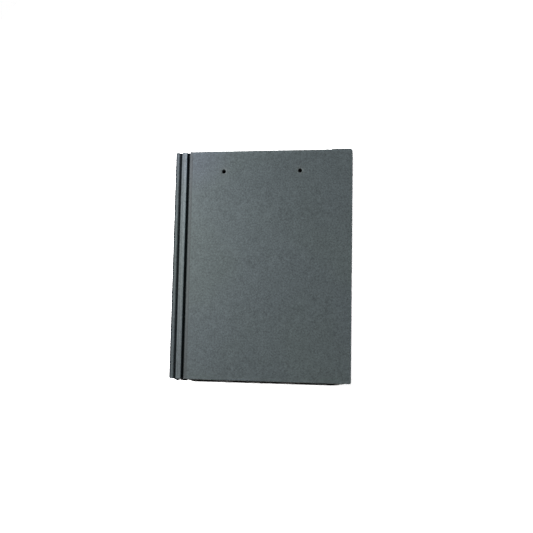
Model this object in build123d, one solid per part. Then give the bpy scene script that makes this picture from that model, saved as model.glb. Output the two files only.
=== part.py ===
from build123d import *
import math
import os

# X runs across the tile with the lower side lock on the left, Y up the roof slope, Z out of the face.

# Whole tile
tile_length = 420.0
tile_width = 330.0
body_thickness = 22.0
head_setback = 1.1
plan_corner_radius = 3.0
tail_arris_radius = 2.2
head_arris_radius = 1.0
edge_arris_radius = 1.2

# Lower side lock: two rain channels between two upstands
lock_width = 29.5
lock_drop = 8.8
outer_rib_width = 7.3
outer_channel_width = 5.0
inner_rib_width = 9.6
inner_ledge_width = 3.0
inner_ledge_drop = 0.8
channel_depth = 5.4
channel_draft = 9.0
lock_floor = 6.0
rib_round = 1.1
channel_round = 1.0
shoulder_width = 6.0
shoulder_drop = 1.4
lock_root_width = 10.0
lock_root_blend = 8.0

# Upper side lock: the thin flap on the right that covers the next tile's channels
joint_gap = 1.5
lap_clearance = 0.8
rib_side_clearance = 0.9
rib_tip_clearance = 1.4
drain_gap = 9.2
body_wall_draft = 6.0
flap_root_radius = 3.0
flap_rib_round = 0.7

# Nail holes
nail_hole_spacing = 140.6
nail_hole_from_head = 39.2
nail_hole_diameter = 6.5
nail_mouth_diameter = 9.0
nail_mouth_depth = 1.4

# Nibs that hook over the roof batten
nib_drop = 12.0
nib_width = 46.0
nib_depth = 17.0
nib_spacing = 172.0
nib_from_head = 9.0
nib_side_slope = 3.0
nib_head_slope = 6.0
nib_bearing_slope = 0.5
nib_corner_radius = 3.0

# Underside: two weather bars near the tail and four shallow hollows
bar_groove_width = 8.0
bar_groove_depth = 3.0
bar_groove_floor = 5.0
first_bar_from_tail = 16.0
bar_pitch = 20.0
hollow_depth = 3.6
hollow_taper = 30.0
hollow_corner_radius = 12.0
hollow_columns = 2
hollow_rows = 2
hollow_side_land = 20.0
hollow_web = 20.0
hollow_from_tail = 62.0
hollow_from_head = 66.0

# Places that several features share
left_edge = -tile_width / 2
right_edge = tile_width / 2
tail_end = -tile_length / 2
head_end = tile_length / 2
cover_width = tile_width - lock_width + joint_gap
rib_top = body_thickness - lock_drop
channel_bottom = rib_top - channel_depth
lock_underside = channel_bottom - lock_floor
channel_lean = channel_depth * math.tan(math.radians(channel_draft))
outer_channel_left = left_edge + outer_rib_width
outer_channel_right = outer_channel_left + outer_channel_width
inner_channel_left = outer_channel_right + inner_rib_width
ledge_top = rib_top - inner_ledge_drop
ledge_end = outer_channel_right + inner_ledge_width
crest_start = ledge_end + inner_ledge_drop
body_left = left_edge + lock_width
shoulder_foot = body_thickness - shoulder_drop
wall_lean = (shoulder_foot - channel_bottom) * math.tan(math.radians(channel_draft))
lock_root = body_left + lock_root_width

# The flap's ribs stand in the next tile's channels, one cover width to the right
flap_underside = rib_top + lap_clearance
flap_rib_tip = channel_bottom + rib_tip_clearance
flap_rib_lean = (flap_underside - flap_rib_tip) * math.tan(math.radians(channel_draft))
mid_rib_left = outer_channel_left + cover_width + rib_side_clearance
mid_rib_right = outer_channel_right + cover_width - rib_side_clearance
edge_rib_left = inner_channel_left + cover_width + rib_side_clearance
body_wall_top = left_edge + cover_width - drain_gap
body_wall_foot = body_wall_top - flap_underside * math.tan(math.radians(body_wall_draft))


def rounded(face, points, radius):
    """Round the outline at each of the given points."""
    corners = [v for v in face.vertices()
               if any(math.hypot(v.X - x, v.Y - z) < 0.01 for x, z in points)]
    return fillet(corners, radius)


def section():
    """Cross-section of the tile, X across and Y upwards."""
    lock_tops = [
        (left_edge, rib_top),
        (outer_channel_left, rib_top),
        (outer_channel_right, ledge_top),
        (inner_channel_left, rib_top),
    ]
    ledge_step = [(ledge_end, ledge_top), (crest_start, rib_top)]
    channel_floors = [
        (outer_channel_left + channel_lean, channel_bottom),
        (outer_channel_right - channel_lean, channel_bottom),
        (inner_channel_left + channel_lean, channel_bottom),
        (body_left - wall_lean, channel_bottom),
    ]
    flap_tips = [
        (mid_rib_left + flap_rib_lean, flap_rib_tip),
        (mid_rib_right - flap_rib_lean, flap_rib_tip),
        (edge_rib_left + flap_rib_lean, flap_rib_tip),
        (right_edge, flap_rib_tip),
    ]
    flap_root = (body_wall_top, flap_underside)
    lock_corner = (left_edge, lock_underside)
    shoulder_start = (body_left, shoulder_foot)
    shoulder_end = (body_left + shoulder_width, body_thickness)
    upper_left = Polyline(
        lock_corner, lock_tops[0], lock_tops[1], channel_floors[0], channel_floors[1],
        lock_tops[2], *ledge_step, lock_tops[3], channel_floors[2], channel_floors[3],
        shoulder_start,
    )
    shoulder = TangentArc(shoulder_end, shoulder_start, tangent=(-1, 0))
    rest = Polyline(
        shoulder_end, (right_edge, body_thickness), flap_tips[3], flap_tips[2],
        (edge_rib_left, flap_underside), (mid_rib_right, flap_underside), flap_tips[1],
        flap_tips[0], (mid_rib_left, flap_underside), flap_root, (body_wall_foot, 0),
        (lock_root + lock_root_blend, 0), (lock_root, lock_underside), lock_corner,
    )
    face = make_face(upper_left.edges() + shoulder.edges() + rest.edges())
    face = rounded(face, lock_tops, rib_round)
    face = rounded(face, channel_floors, channel_round)
    face = rounded(face, flap_tips, flap_rib_round)
    face = rounded(face, [flap_root], flap_root_radius)
    return rounded(face, [(right_edge, body_thickness), lock_corner], edge_arris_radius)


def nib(x):
    """One batten nib under the head, steeper on the side that bears on the batten."""
    head_side = head_end - nib_from_head
    tail_side = head_side - nib_depth
    side_view = Plane.YZ * make_face(Polyline(
        (tail_side, 0), (tail_side + nib_bearing_slope, -nib_drop),
        (head_side - nib_head_slope, -nib_drop), (head_side, 0), close=True))
    half = nib_width / 2
    end_view = Plane.XZ * make_face(Polyline(
        (-half, 0), (nib_side_slope - half, -nib_drop),
        (half - nib_side_slope, -nib_drop), (half, 0), close=True))
    block = extrude(side_view, nib_width / 2, both=True)
    block &= Pos(0, (head_side + tail_side) / 2, 0) * extrude(end_view, nib_depth, both=True)
    corners = [e for e in block.edges() if e.bounding_box().size.Z > nib_drop / 2
               and e.length < 1.5 * nib_drop]
    return Pos(x, 0, 0) * fillet(corners, nib_corner_radius)


def nail_hole(x):
    """A punched nail hole, slightly dished where the punch went in."""
    y = head_end - nail_hole_from_head
    bore = Pos(x, y, 0) * Cylinder(
        nail_hole_diameter / 2, body_thickness,
        align=(Align.CENTER, Align.CENTER, Align.MIN))
    mouth = Pos(x, y, body_thickness) * Cone(
        nail_hole_diameter / 2, nail_mouth_diameter / 2, nail_mouth_depth,
        align=(Align.CENTER, Align.CENTER, Align.MAX))
    return bore + mouth


def bar_groove(y):
    """A groove across the underside, so that the strips beside it stand as weather bars."""
    half_root = bar_groove_width / 2
    half_floor = bar_groove_floor / 2
    across = Plane.YZ * make_face(Polyline(
        (y - half_root, 0), (y - half_floor, bar_groove_depth),
        (y + half_floor, bar_groove_depth), (y + half_root, 0), close=True))
    start = lock_root + lock_root_blend
    return Pos(start, 0, 0) * extrude(across, body_wall_top - start)


def hollows():
    """Shallow drafted hollows that save weight between the webs."""
    left = lock_root + lock_root_blend + hollow_side_land
    right = body_wall_foot - hollow_side_land
    tail = tail_end + hollow_from_tail
    head = head_end - hollow_from_head
    width = (right - left - (hollow_columns - 1) * hollow_web) / hollow_columns
    length = (head - tail - (hollow_rows - 1) * hollow_web) / hollow_rows
    cuts = []
    for column in range(hollow_columns):
        for row in range(hollow_rows):
            x = left + width / 2 + column * (width + hollow_web)
            y = tail + length / 2 + row * (length + hollow_web)
            mouth = Pos(x, y, 0) * RectangleRounded(width, length, hollow_corner_radius)
            cuts.append(extrude(mouth, hollow_depth, taper=hollow_taper))
    return cuts


def arris(end, out, radius):
    """The sliver that comes off the face's arris at an end that faces out along -Y or +Y."""
    y = end - out * radius
    z = body_thickness - radius
    corner = Pos(0, y + out * radius / 2, z + radius / 2) * Box(tile_width, radius, radius)
    return corner - Pos(0, y, z) * Rot(0, 90, 0) * Cylinder(radius, tile_width)


def setback():
    """The strip off the head between the two side locks, with the arris behind it."""
    across = body_wall_top - body_left
    strip = Pos(body_left, head_end, 0) * Box(
        across, head_setback, body_thickness, align=(Align.MIN, Align.MAX, Align.MIN))
    middle = Pos(body_left, head_end, 0) * Box(
        across, head_setback + head_arris_radius, body_thickness,
        align=(Align.MIN, Align.MAX, Align.MIN))
    return strip + (arris(head_end - head_setback, 1, head_arris_radius) & middle)


def tile():
    """The whole casting, with its underside level."""
    body = extrude(Plane.XZ * section(), tile_length / 2, both=True)
    body -= arris(tail_end, -1, tail_arris_radius)
    body -= arris(head_end, 1, head_arris_radius)
    body -= setback()
    body &= extrude(
        RectangleRounded(tile_width, tile_length, plan_corner_radius), body_thickness)
    for side in (-1, 1):
        body += nib(side * nib_spacing / 2)
        body -= nail_hole(side * nail_hole_spacing / 2)
    for bar in range(2):
        body -= bar_groove(tail_end + first_bar_from_tail + bar * bar_pitch)
    for cut in hollows():
        body -= cut
    return body


# Laid down unheld, the tile rests on its two nibs and the lower edge of its tail
nib_contact = head_end - nib_from_head - nib_depth + nib_bearing_slope
rest_angle = math.degrees(math.atan2(nib_drop, nib_contact - tail_end))
roof_tile = Rot(rest_angle, 0, 0) * tile()
box = roof_tile.bounding_box()
roof_tile = Pos(-box.center().X, -box.center().Y, -box.min.Z) * roof_tile

os.makedirs("parts", exist_ok=True)
export_step(roof_tile, "parts/roof_tile.step")
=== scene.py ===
import math
import bmesh
import bpy
from mathutils import Matrix, Vector

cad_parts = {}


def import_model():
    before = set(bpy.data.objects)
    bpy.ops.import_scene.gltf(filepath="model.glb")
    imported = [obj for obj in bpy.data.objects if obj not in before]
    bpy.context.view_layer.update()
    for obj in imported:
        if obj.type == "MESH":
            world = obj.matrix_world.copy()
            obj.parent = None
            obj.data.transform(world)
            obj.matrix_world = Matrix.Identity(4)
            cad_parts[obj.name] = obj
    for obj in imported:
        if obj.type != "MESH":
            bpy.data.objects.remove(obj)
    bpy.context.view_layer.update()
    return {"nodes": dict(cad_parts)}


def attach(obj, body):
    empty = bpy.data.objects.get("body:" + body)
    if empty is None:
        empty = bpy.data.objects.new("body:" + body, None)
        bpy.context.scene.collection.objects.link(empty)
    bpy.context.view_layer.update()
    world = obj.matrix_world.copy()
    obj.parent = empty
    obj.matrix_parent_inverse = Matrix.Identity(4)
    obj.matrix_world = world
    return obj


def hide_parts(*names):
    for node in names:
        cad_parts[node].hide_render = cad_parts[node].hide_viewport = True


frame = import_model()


scene = bpy.context.scene
for name in ("Cube", "Light", "Camera"):  # Blender's start-up objects
    if name in bpy.data.objects:
        bpy.data.objects.remove(bpy.data.objects[name])

restAngle = math.radians(1.7423)  # the tile leans on its nibs by this much
slope = Vector((0, math.cos(restAngle), math.sin(restAngle)))  # up the tile, tail to head
facing = Vector((0, -math.sin(restAngle), math.cos(restAngle)))  # out of the weathered face
sideways = Vector((1, 0, 0))  # across the tile, from the lower side lock to the flap
print("frame loaded")


# small helpers for node trees, for shaders and geometry alike

def addNode(tree, kind, label="", **settings):
    node = tree.nodes.new(kind)
    if label:
        node.label = label
    for key, value in settings.items():
        setattr(node, key, value)
    return node


def feed(tree, node, socket, value):
    target = node.inputs[socket]
    if isinstance(value, bpy.types.NodeSocket):
        tree.links.new(value, target)
    else:
        target.default_value = value


def maths(tree, operation, first, *others, label=""):  # one node for each further value
    total = first
    for other in others or (None,):
        node = addNode(tree, "ShaderNodeMath", label, operation=operation)
        feed(tree, node, 0, total)
        if other is not None:
            feed(tree, node, 1, other)
        total = node.outputs[0]
    return total


def plus(tree, *values, label=""):
    return maths(tree, "ADD", *values, label=label)


def minus(tree, value, taken, label=""):
    return maths(tree, "SUBTRACT", value, taken, label=label)


def times(tree, *values, label=""):
    return maths(tree, "MULTIPLY", *values, label=label)


def diagonal(tree, a, b, label=""):  # how long the straight line over two sides is
    return maths(tree, "SQRT", plus(tree, times(tree, a, a), times(tree, b, b)), label=label)


def fade(tree, value, start, end, low=0.0, high=1.0, label=""):  # a soft step from low to high
    node = addNode(tree, "ShaderNodeMapRange", label, interpolation_type="SMOOTHSTEP")
    feed(tree, node, "Value", value)
    feed(tree, node, "From Min", start)
    feed(tree, node, "From Max", end)
    feed(tree, node, "To Min", low)
    feed(tree, node, "To Max", high)
    return node.outputs["Result"]


def noise(tree, place, scale, detail, seed, label):
    node = addNode(tree, "ShaderNodeTexNoise", label, noise_dimensions="4D")
    feed(tree, node, "Vector", place)
    feed(tree, node, "W", seed)
    feed(tree, node, "Scale", scale)
    feed(tree, node, "Detail", detail)
    return node.outputs[0]


def alongAxis(tree, vector, axis, label=""):
    node = addNode(tree, "ShaderNodeVectorMath", label, operation="DOT_PRODUCT")
    feed(tree, node, 0, vector)
    feed(tree, node, 1, axis)
    return node.outputs["Value"]


def stretched(tree, vector, amount, label=""):
    node = addNode(tree, "ShaderNodeVectorMath", label, operation="SCALE")
    feed(tree, node, 0, vector)
    feed(tree, node, "Scale", amount)
    return node.outputs[0]


def averaged(tree, value, dataType, steps, label):  # with the neighbouring points
    node = addNode(tree, "GeometryNodeBlurAttribute", label, data_type=dataType)
    feed(tree, node, "Value", value)
    feed(tree, node, "Iterations", steps)
    return node.outputs[0]


def blend(tree, factor, a, b, label):
    node = addNode(tree, "ShaderNodeMix", label, data_type="RGBA")
    feed(tree, node, 0, factor)
    feed(tree, node, 6, a)  # the mix node's two colours
    feed(tree, node, 7, b)
    return node.outputs[2]


# the tile's mesh: a fine copy of the solid, cut into small faces so that it can be worn

tileMesh = {
    "step": 0.0029,
    "edgeStep": 0.0011,  # finer next to the outline, where the arrises are nicked
    "edgeReach": 0.004,
    "sideStep": 0.0024,
    "flatAngle": 0.2,  # faces that turn by less are one flat face before the cuts
    "weldReach": 0.000001,
    "mergeReach": 0.00006,  # slivers narrower than this close up
    "sharpAngle": 50,
}


def stepPlaces(low, high):
    places = []
    at = tileMesh["edgeStep"]
    while at < high - low - tileMesh["edgeStep"] / 2:
        places.append(low + at)
        near = min(at, high - low - at)
        at += tileMesh["edgeStep"] if near < tileMesh["edgeReach"] else tileMesh["step"]
    return places


def cutAcross(bm, faces, normal, places):
    edges = {e for f in faces for e in f.edges}
    verts = {v for f in faces for v in f.verts}
    parts = list(verts) + list(edges) + list(faces)
    for at in places:
        result = bmesh.ops.bisect_plane(
            bm, geom=parts, dist=1e-7, plane_co=normal * at, plane_no=normal)
        parts = result["geom"]


def fineTileMesh(solid):
    bm = bmesh.new()
    bm.from_mesh(solid.data)
    bmesh.ops.remove_doubles(bm, verts=bm.verts, dist=tileMesh["weldReach"])
    bmesh.ops.dissolve_limit(
        bm, angle_limit=math.radians(tileMesh["flatAngle"]), verts=bm.verts, edges=bm.edges)
    for normal in (sideways, slope):
        reach = [v.co.dot(normal) for v in bm.verts]
        cutAcross(bm, bm.faces[:], normal, stepPlaces(min(reach), max(reach)))
    upright = [f for f in bm.faces if abs(f.normal.dot(facing)) < 0.5]
    reach = [v.co.dot(facing) for f in upright for v in f.verts]
    count = int((max(reach) - min(reach)) / tileMesh["sideStep"])
    levels = [min(reach) + (i + 1) * tileMesh["sideStep"] for i in range(count)]
    cutAcross(bm, upright, facing, levels)
    bmesh.ops.remove_doubles(bm, verts=bm.verts, dist=tileMesh["mergeReach"])
    bmesh.ops.triangulate(bm, faces=[f for f in bm.faces if len(f.verts) > 4])
    mesh = bpy.data.meshes.new("concreteTile")
    bm.to_mesh(mesh)
    bm.free()
    mesh.polygons.foreach_set("use_smooth", [True] * len(mesh.polygons))
    mesh.set_sharp_from_angle(angle=math.radians(tileMesh["sharpAngle"]))
    return mesh


# wear: the surface undulates, cut ends and underside are rough, arrises are rubbed and nicked.
# everything moves inwards only, so the tile keeps its size

wear = {
    "waveSize": 0.07,
    "waveHeight": 0.00016,
    "faceRipple": 0.00007,
    "endRipple": 0.00040,
    "underRipple": 0.00026,
    "rippleSize": 0.0065,
    "arrisWidth": 2.6,
    "rubDepth": 0.00005,
    "nickSize": 0.0055,
    "nickDepth": 0.00120,
    "nickStart": 0.61,  # nicks open where their noise rises past this
    "nickFull": 0.80,
    "cornerSide": 0.1595,  # the head's right corner is knocked round from here outwards
    "cornerHead": 0.2050,
    "seed": 4.0,
}

# where each kind of wear, painted shade and painted highlight shows, as the start and the end of a
# soft step
maskZones = {
    "arrisAngle": (0.15, 0.6),  # how sharp an edge is, in radians
    "endward": (0.75, 0.95),  # how far a face turns towards head or tail
    "downward": (-0.3, -0.8),  # how far it turns down or up
    "upward": (0.3, 0.6),
    "outerSide": (-0.5, 0.0),
    "lock": (-0.1352, -0.1360),  # places across the tile
    "outerChannel": (-0.1500, -0.1440),
    "ledgeLeft": (-0.1512, -0.1506),
    "ledgeRight": (-0.1475, -0.1481),
    "crestLeft": (-0.1470, -0.1456),
    "crestRight": (-0.1412, -0.1420),
    "shoulder": (-0.1285, -0.1305),
    "rim": (-0.1612, -0.1630),
    "channelHeight": (0.0192, 0.0150),  # heights, on which the face lies at 0.0283
    "crestHeight": (0.0178, 0.0184),
    "shoulderHeight": (0.0192, 0.0202),
}
outerChannelShadeShare = 0.35  # painted shade in the channels: the outer channel gets this share of it, where the inner one gets 1
arrisSteps = 2  # how often the arrises and the normals are averaged with their neighbours
normalSteps = 3


def wearTree(material):
    tree = bpy.data.node_groups.new("wearConcrete", "GeometryNodeTree")
    sockets = tree.interface
    sockets.new_socket("Geometry", in_out="INPUT", socket_type="NodeSocketGeometry")
    names = {key: sockets.new_socket(key, in_out="INPUT", socket_type="NodeSocketFloat").identifier
             for key in wear}
    sockets.new_socket("Geometry", in_out="OUTPUT", socket_type="NodeSocketGeometry")
    entry = addNode(tree, "NodeGroupInput", "wear settings")
    ask = {key: entry.outputs[key] for key in wear}

    place = addNode(tree, "GeometryNodeInputPosition").outputs[0]
    normal = addNode(tree, "GeometryNodeInputNormal").outputs["Normal"]
    up = alongAxis(tree, normal, facing, "how far it faces up")
    endward = maths(tree, "ABSOLUTE", alongAxis(tree, normal, slope, "towards head or tail"))
    across = alongAxis(tree, place, sideways, "across the tile")
    along = alongAxis(tree, place, slope, "along the tile")
    height = alongAxis(tree, place, facing, "height in the tile")

    def zone(value, name, low=0.0, high=1.0):
        return fade(tree, value, *maskZones[name], low, high, label=name)

    # the arrises, but not those of the small ledge on the inner rib
    angle = addNode(tree, "GeometryNodeInputMeshEdgeAngle", "edge angle").outputs["Unsigned Angle"]
    edge = addNode(tree, "GeometryNodeFieldOnDomain", "on edges", domain="EDGE", data_type="FLOAT")
    feed(tree, edge, 0, zone(angle, "arrisAngle"))
    spread = averaged(tree, edge.outputs[0], "FLOAT", arrisSteps, "spread")
    arris = maths(tree, "MINIMUM", times(tree, spread, ask["arrisWidth"]), 1.0, label="arris")
    ledge = times(tree, zone(across, "ledgeLeft"), zone(across, "ledgeRight"), label="ledge")
    arris = times(tree, arris, minus(tree, 1.0, ledge))

    # masks for painted shade in the channels, on the shoulder and on the lock's outer side, and for
    # the painted highlight on the crest
    channelShadeMask = times(tree, zone(height, "channelHeight"),
                      zone(across, "outerChannel", outerChannelShadeShare, 1.0), label="channelShadeMask")
    found = {
        "arris": arris,
        "cutEnd": zone(endward, "endward"),
        "underside": zone(up, "downward"),
        "channel": times(tree, zone(across, "lock"), channelShadeMask),
        "crest": times(tree, zone(across, "crestLeft"), zone(across, "crestRight"),
                       zone(height, "crestHeight")),
        "shoulder": times(tree, zone(up, "upward"), zone(height, "shoulderHeight"),
                          zone(across, "shoulder")),
        "rim": times(tree, zone(across, "rim"), zone(up, "outerSide")),
    }
    stored = entry.outputs["Geometry"]
    for name, value in found.items():
        keep = addNode(tree, "GeometryNodeStoreNamedAttribute", name,
                       data_type="FLOAT", domain="POINT")
        feed(tree, keep, "Geometry", stored)
        feed(tree, keep, "Name", name)
        feed(tree, keep, "Value", value)
        stored = keep.outputs["Geometry"]

    def readBack(name):
        node = addNode(tree, "GeometryNodeInputNamedAttribute", name, data_type="FLOAT")
        feed(tree, node, "Name", name)
        return node.outputs["Attribute"]

    def wearNoise(size, detail, label, shift=0.0):
        scale = maths(tree, "DIVIDE", 1.0, size)
        return noise(tree, place, scale, detail, plus(tree, ask["seed"], shift), label)

    waves = times(tree, wearNoise(ask["waveSize"], 1.0, "waves"), ask["waveHeight"])
    rippleDepth = plus(tree, ask["faceRipple"],
                       times(tree, readBack("cutEnd"), ask["endRipple"]),
                       times(tree, readBack("underside"), ask["underRipple"]))
    ripples = times(tree, wearNoise(ask["rippleSize"], 2.0, "ripples", shift=3.0), rippleDepth)
    nicked = fade(tree, wearNoise(ask["nickSize"], 2.0, "nicks", shift=7.0),
                  ask["nickStart"], ask["nickFull"])
    marked = times(tree, readBack("arris"), plus(tree, times(
        tree, nicked, ask["nickDepth"]), ask["rubDepth"]), label="rubbed and nicked")
    depth = plus(tree, waves, ripples, marked)

    # the square beyond the corner's start is drawn in to a quarter circle
    tiny = 1e-6
    aside = maths(tree, "MAXIMUM", minus(tree, across, ask["cornerSide"]), 0.0)
    ahead = maths(tree, "MAXIMUM", minus(tree, along, ask["cornerHead"]), 0.0)
    reach = diagonal(tree, aside, ahead)
    trim = minus(tree, maths(tree, "DIVIDE", maths(tree, "MAXIMUM", aside, ahead),
                             maths(tree, "MAXIMUM", reach, tiny)), 1.0)
    trim = times(tree, trim, maths(tree, "GREATER_THAN", reach, tiny))

    # the normals are evened out, so that narrow faces beside an edge don't fold over
    outwards = averaged(tree, normal, "FLOAT_VECTOR", normalSteps, "even normals")

    moved = stored
    for direction, amount, label in (
            (outwards, times(tree, depth, -1.0), "wear inwards"),
            (sideways, times(tree, aside, trim), "round the corner's side"),
            (slope, times(tree, ahead, trim), "round the corner's head")):
        move = addNode(tree, "GeometryNodeSetPosition", label)
        feed(tree, move, "Geometry", moved)
        feed(tree, move, "Offset", stretched(tree, direction, amount, label))
        moved = move.outputs[0]
    real = addNode(tree, "GeometryNodeRealizeInstances")
    feed(tree, real, 0, moved)
    finish = addNode(tree, "GeometryNodeSetMaterial")
    feed(tree, finish, "Geometry", real.outputs[0])
    feed(tree, finish, "Material", material)
    leave = addNode(tree, "NodeGroupOutput")
    feed(tree, leave, 0, finish.outputs[0])
    return tree, names


def wearDown(piece, material):
    tree, names = wearTree(material)
    modifier = piece.modifiers.new("wear", "NODES")
    modifier.node_group = tree
    for key, value in wear.items():
        modifier[names[key]] = value
    depsgraph = bpy.context.evaluated_depsgraph_get()
    mesh = bpy.data.meshes.new_from_object(
        piece.evaluated_get(depsgraph), preserve_all_data_layers=True, depsgraph=depsgraph)
    piece.modifiers.remove(modifier)
    piece.data = mesh
    mesh.name = "concreteTile"


# concrete: through-coloured grey, fine sand grain, cloudy mottling, a slight satin skin on top, and
# a faint painted bluish sheen near the head's left corner.
# sizes and heights are in metres, depths are shares of the colour

concrete = {
    "greenTone": (0.0942, 0.1165, 0.1187, 1),
    "blueTone": (0.0975, 0.1162, 0.1345, 1),
    "sheenPlace": (-0.130, 0.200, 0.035),  # a faint painted bluish sheen at the head's left corner
    "sheenReach": (0.10, 0.01),
    "driftSize": 0.11,  # elsewhere the tint only drifts a little towards blue
    "driftRange": (0.35, 0.65),
    "driftMost": 0.3,
    "bareTone": (0.150, 0.160, 0.156, 1),  # where the skin is rubbed off
    "bareAtArris": 0.35,
    "bareAtEnds": 0.55,
    "bareUnderneath": 0.35,
    "bareMost": 0.8,
    "cloudSize": 0.075,
    "cloudDepth": 0.24,
    "blotchSize": 0.013,
    "blotchDepth": 0.41,
    "fleckSize": 0.0030,
    "fleckDepth": 1.14,
    "fleckHeight": 0.00016,
    "sandSize": 0.0010,
    "sandDepth": 1.24,
    "sandHeight": 0.00013,
    "bareGrain": 2.0,  # bare concrete is coarser by this much
    "streakSize": 0.005,
    "streakDrawn": 0.06,
    "streakDepth": 0.08,
    "poreSize": 0.0065,
    "poreRim": (0.13, 0.04),
    "poreGroups": 0.016,
    "poreChance": (0.50, 0.62),
    "poreDark": 0.55,
    "poreDepth": 0.00035,
    "roughness": 0.50,
    "crestRoughness": 0.38,
    "blotchRoughness": 0.12,
    "sandRoughness": 0.16,
    "bareRoughness": 0.25,
    "specular": 0.25,
    "channelMatt": 0.9,
}

# painted shade, painted highlights and paler ends, as shares of the colour, and the places where
# they begin and end
shades = {
    "channelShadeDepth": 0.45,
    "shoulderShadeDepth": 0.48,
    "rimShadeDepth": 0.42,
    "endPale": 0.12,  # next to head and tail
    "endPlaces": (0.2020, 0.2068),
    "crestHighlightTail": 0.58,  # painted highlight on the crest, stronger towards the head
    "crestHighlightHead": 1.25,
    "crestPlaces": (-0.08, 0.19),
    "holeSide": 0.0703,  # the nail holes, across and up the tile
    "holeUp": 0.1713,
    # painted highlight on the nail holes' mouths and painted shade down their bores
    "mouthHighlight": 0.16,
    "mouthReach": (0.0060, 0.0048),
    "boreShade": 0.75,
    "boreReach": (0.0033, 0.0043),
}


def concreteMaterial():
    material = bpy.data.materials.new("greyConcrete")
    material.use_nodes = True
    tree = material.node_tree
    tree.nodes.clear()
    place = addNode(tree, "ShaderNodeTexCoord").outputs["Object"]
    across = alongAxis(tree, place, sideways, "across the tile")
    along = alongAxis(tree, place, slope, "along the tile")

    # reads a mask stored on the mesh: wear, or where painted shade and highlights go
    def marked(name):
        node = addNode(tree, "ShaderNodeAttribute", name, attribute_name=name)
        return node.outputs["Fac"]

    def grain(size, detail, seed, label, vector=place):
        return noise(tree, vector, 1 / size, detail, seed, label)

    def swing(value, amount):  # noise about its middle
        return times(tree, minus(tree, value, 0.5), amount)

    clouds = grain(concrete["cloudSize"], 3.0, 1.0, "clouds")
    blotches = grain(concrete["blotchSize"], 2.0, 2.0, "blotches")
    flecks = grain(concrete["fleckSize"], 1.0, 3.0, "flecks")
    sand = grain(concrete["sandSize"], 1.0, 4.0, "sand")
    drawn = addNode(tree, "ShaderNodeMapping", "drawn out along the tile")
    feed(tree, drawn, "Vector", place)
    feed(tree, drawn, "Scale", (1, concrete["streakDrawn"], 1))
    streaks = grain(concrete["streakSize"], 2.0, 5.0, "streaks", drawn.outputs[0])

    # tint, with a painted bluish sheen near the head's left corner
    fromCorner = addNode(tree, "ShaderNodeVectorMath", "from the head's left", operation="DISTANCE")
    feed(tree, fromCorner, 0, place)
    feed(tree, fromCorner, 1, concrete["sheenPlace"])
    paintedSheen = fade(tree, fromCorner.outputs["Value"], *concrete["sheenReach"], label="paintedSheen")
    drift = fade(tree, grain(concrete["driftSize"], 1.0, 6.0, "drift"),
                 *concrete["driftRange"], 0.0, concrete["driftMost"])
    tint = blend(tree, maths(tree, "MAXIMUM", drift, paintedSheen),
                 concrete["greenTone"], concrete["blueTone"], "tint")
    bare = maths(tree, "MINIMUM", plus(
        tree, times(tree, marked("arris"), concrete["bareAtArris"]),
        times(tree, marked("cutEnd"), concrete["bareAtEnds"]),
        times(tree, marked("underside"), concrete["bareUnderneath"])), concrete["bareMost"])
    skin = blend(tree, bare, tint, concrete["bareTone"], "bare concrete")

    # light and dark in the concrete itself
    tone = plus(
        tree, 1.0, swing(clouds, concrete["cloudDepth"]), swing(blotches, concrete["blotchDepth"]),
        swing(flecks, concrete["fleckDepth"]), swing(sand, concrete["sandDepth"]),
        swing(streaks, concrete["streakDepth"]))
    # painted shade in the channels
    channelShade = minus(tree, 1.0, times(tree, marked("channel"), shades["channelShadeDepth"]))
    paleEnds = fade(tree, maths(tree, "ABSOLUTE", along), *shades["endPlaces"],
                      0.0, shades["endPale"], label="paler at head and tail")
    crestHighlight = fade(tree, along, *shades["crestPlaces"],
                   shades["crestHighlightTail"], shades["crestHighlightHead"], label="crestHighlight")
    # painted shade down the nail holes and a painted highlight on their mouths
    beside = minus(tree, maths(tree, "ABSOLUTE", across), shades["holeSide"])
    fromHole = diagonal(tree, beside, minus(tree, along, shades["holeUp"]), label="from a hole")
    holeLightAndShade = times(tree, fade(tree, fromHole, *shades["mouthReach"]),
                  fade(tree, fromHole, *shades["boreReach"],
                       -shades["boreShade"], shades["mouthHighlight"]), label="pale mouth, dark bore")
    # painted shade on the shoulder and the lock's outer side, a painted highlight on the crest, the
    # holes' painted light and shade, and paler ends
    paintedLightAndShade = plus(tree, 1.0, paleEnds, holeLightAndShade, times(tree, marked("crest"), crestHighlight),
                 times(tree, marked("shoulder"), -shades["shoulderShadeDepth"]),
                 times(tree, marked("rim"), -shades["rimShadeDepth"]))

    # pores
    cells = addNode(tree, "ShaderNodeTexVoronoi", "pores", distance="EUCLIDEAN")
    feed(tree, cells, "Vector", place)
    feed(tree, cells, "Scale", 1 / concrete["poreSize"])
    chosen = fade(tree, grain(concrete["poreGroups"], 0.0, 8.0, "where pores open"),
                  *concrete["poreChance"])
    pores = times(tree, fade(tree, cells.outputs["Distance"], *concrete["poreRim"]), chosen)
    poreShade = minus(tree, 1.0, times(tree, pores, concrete["poreDark"]))
    colour = stretched(tree, skin, times(tree, tone, channelShade, paintedLightAndShade, poreShade), "colour")

    # sheen
    roughness = plus(tree, concrete["roughness"], swing(blotches, concrete["blotchRoughness"]),
                     swing(sand, concrete["sandRoughness"]),
                     times(tree, bare, concrete["bareRoughness"]))
    polish = concrete["roughness"] - concrete["crestRoughness"]
    roughness = minus(tree, roughness, times(tree, marked("crest"), polish))
    matt = maths(tree, "MAXIMUM", marked("rim"),
                 times(tree, marked("channel"), concrete["channelMatt"]))

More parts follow.
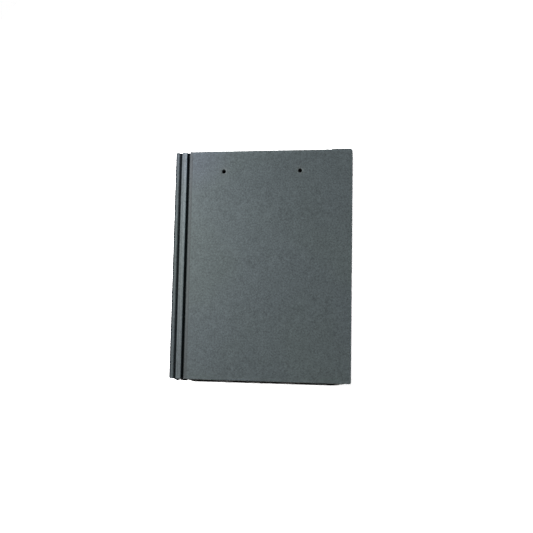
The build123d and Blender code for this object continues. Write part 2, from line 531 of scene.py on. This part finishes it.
    # relief that is too fine for the mesh
    relief = plus(tree, times(tree, sand, concrete["sandHeight"]),
                  times(tree, flecks, concrete["fleckHeight"]))
    coarse = plus(tree, 1.0, times(tree, bare, concrete["bareGrain"]))
    relief = minus(tree, times(tree, relief, coarse), times(tree, pores, concrete["poreDepth"]))
    bump = addNode(tree, "ShaderNodeBump", "grain")
    feed(tree, bump, "Strength", 1.0)
    feed(tree, bump, "Distance", 1.0)
    feed(tree, bump, "Height", relief)

    surface = addNode(tree, "ShaderNodeBsdfPrincipled", "concrete")
    feed(tree, surface, "Base Color", colour)
    feed(tree, surface, "Roughness", roughness)
    feed(tree, surface, "Specular IOR Level", times(
        tree, minus(tree, 1.0, matt), concrete["specular"]))
    feed(tree, surface, "Normal", bump.outputs[0])
    output = addNode(tree, "ShaderNodeOutputMaterial")
    feed(tree, output, 0, surface.outputs[0])
    return material


solid = frame["nodes"]["roof_tile"]
tile = bpy.data.objects.new("concreteTile", fineTileMesh(solid))
scene.collection.objects.link(tile)
tile.data.materials.clear()
print("tile cut into", len(tile.data.polygons), "faces")
wearDown(tile, concreteMaterial())
print("tile worn")
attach(tile, "root")
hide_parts("roof_tile")


# the floor, the light and the camera

studio = {
    "floorRadius": 0.75,
    "floorColour": (0.05, 0.05, 0.05, 1),  # what lights the tile from below
    "seenFloor": (4.1, 4.1, 4.1, 1),  # so bright that only the contact shadow stays dark
    "worldStrength": 0.001,
    "seenWorld": 1.0,
}

lamps = {  # place, size, power
    "nearLeft": ((-0.36, 0.27, 0.30), 0.08, 1.12),
    "left": ((-0.66, -0.02, 0.66), 0.06, 5.45),
    "right": ((1.50, 0.00, 1.00), 0.06, 11.4),
}


def seenDirectly(tree):  # 1 for what the camera, a reflection or a clear body shows
    path = addNode(tree, "ShaderNodeLightPath")
    shown = maths(tree, "MAXIMUM", path.outputs["Is Camera Ray"],
                  path.outputs["Is Glossy Ray"], path.outputs["Is Transmission Ray"])
    straight = maths(tree, "LESS_THAN", path.outputs["Diffuse Depth"], 0.5)
    return times(tree, shown, straight)  # never as light by way of a matt surface


def floor():
    bm = bmesh.new()
    bmesh.ops.create_circle(bm, cap_ends=True, segments=64, radius=studio["floorRadius"])
    mesh = bpy.data.meshes.new("floor")
    bm.to_mesh(mesh)
    bm.free()
    plane = bpy.data.objects.new("floor", mesh)
    scene.collection.objects.link(plane)
    material = bpy.data.materials.new("whiteFloor")
    material.use_nodes = True
    tree = material.node_tree
    tree.nodes.clear()
    surface = addNode(tree, "ShaderNodeBsdfDiffuse", "paper floor")
    feed(tree, surface, "Color", blend(tree, seenDirectly(
        tree), studio["floorColour"], studio["seenFloor"], "white where it is seen"))
    output = addNode(tree, "ShaderNodeOutputMaterial")
    feed(tree, output, 0, surface.outputs[0])
    mesh.materials.append(material)


def lamp(name, place, size, power):
    data = bpy.data.lights.new(name, "AREA")
    data.shape = "DISK"
    data.size = size
    data.energy = power
    lampObject = bpy.data.objects.new(name, data)
    scene.collection.objects.link(lampObject)
    aim = Vector(place).normalized().to_track_quat("Z", "Y").to_matrix().to_4x4()  # at the tile
    lampObject.matrix_world = Matrix.Translation(place) @ aim
    lampObject.visible_camera = False


def world():
    scene.world = bpy.data.worlds.new("studio")
    scene.world.use_nodes = True
    tree = scene.world.node_tree
    strength = addNode(tree, "ShaderNodeMix", "white where it is seen", data_type="FLOAT")
    feed(tree, strength, 0, seenDirectly(tree))
    feed(tree, strength, 2, studio["worldStrength"])  # the mix node's two numbers
    feed(tree, strength, 3, studio["seenWorld"])
    background = tree.nodes["Background"]
    feed(tree, background, "Color", (1, 1, 1, 1))
    feed(tree, background, "Strength", strength.outputs[0])


cameraSetting = {
    "place": (0.1816, -0.14753, 1.20546),
    "back": (0.1413, -0.1190373, 0.9828351),  # from what it looks at towards the camera
    "up": (-0.0067, 0.9925728, 0.1212344),
    "lens": 44.92,
    "sensor": 36,
}


def camera():
    data = bpy.data.cameras.new("camera")
    data.lens = cameraSetting["lens"]
    data.sensor_width = cameraSetting["sensor"]
    cameraObject = bpy.data.objects.new("camera", data)
    scene.collection.objects.link(cameraObject)
    back = Vector(cameraSetting["back"]).normalized()
    up = Vector(cameraSetting["up"])
    up = (up - back * up.dot(back)).normalized()
    right = up.cross(back)
    turn = Matrix((right, up, back)).transposed().to_4x4()
    cameraObject.matrix_world = Matrix.Translation(cameraSetting["place"]) @ turn
    scene.camera = cameraObject


floor()
for name, setting in lamps.items():
    lamp(name, *setting)
world()
camera()
scene.view_settings.view_transform = "Standard"
print("studio ready")
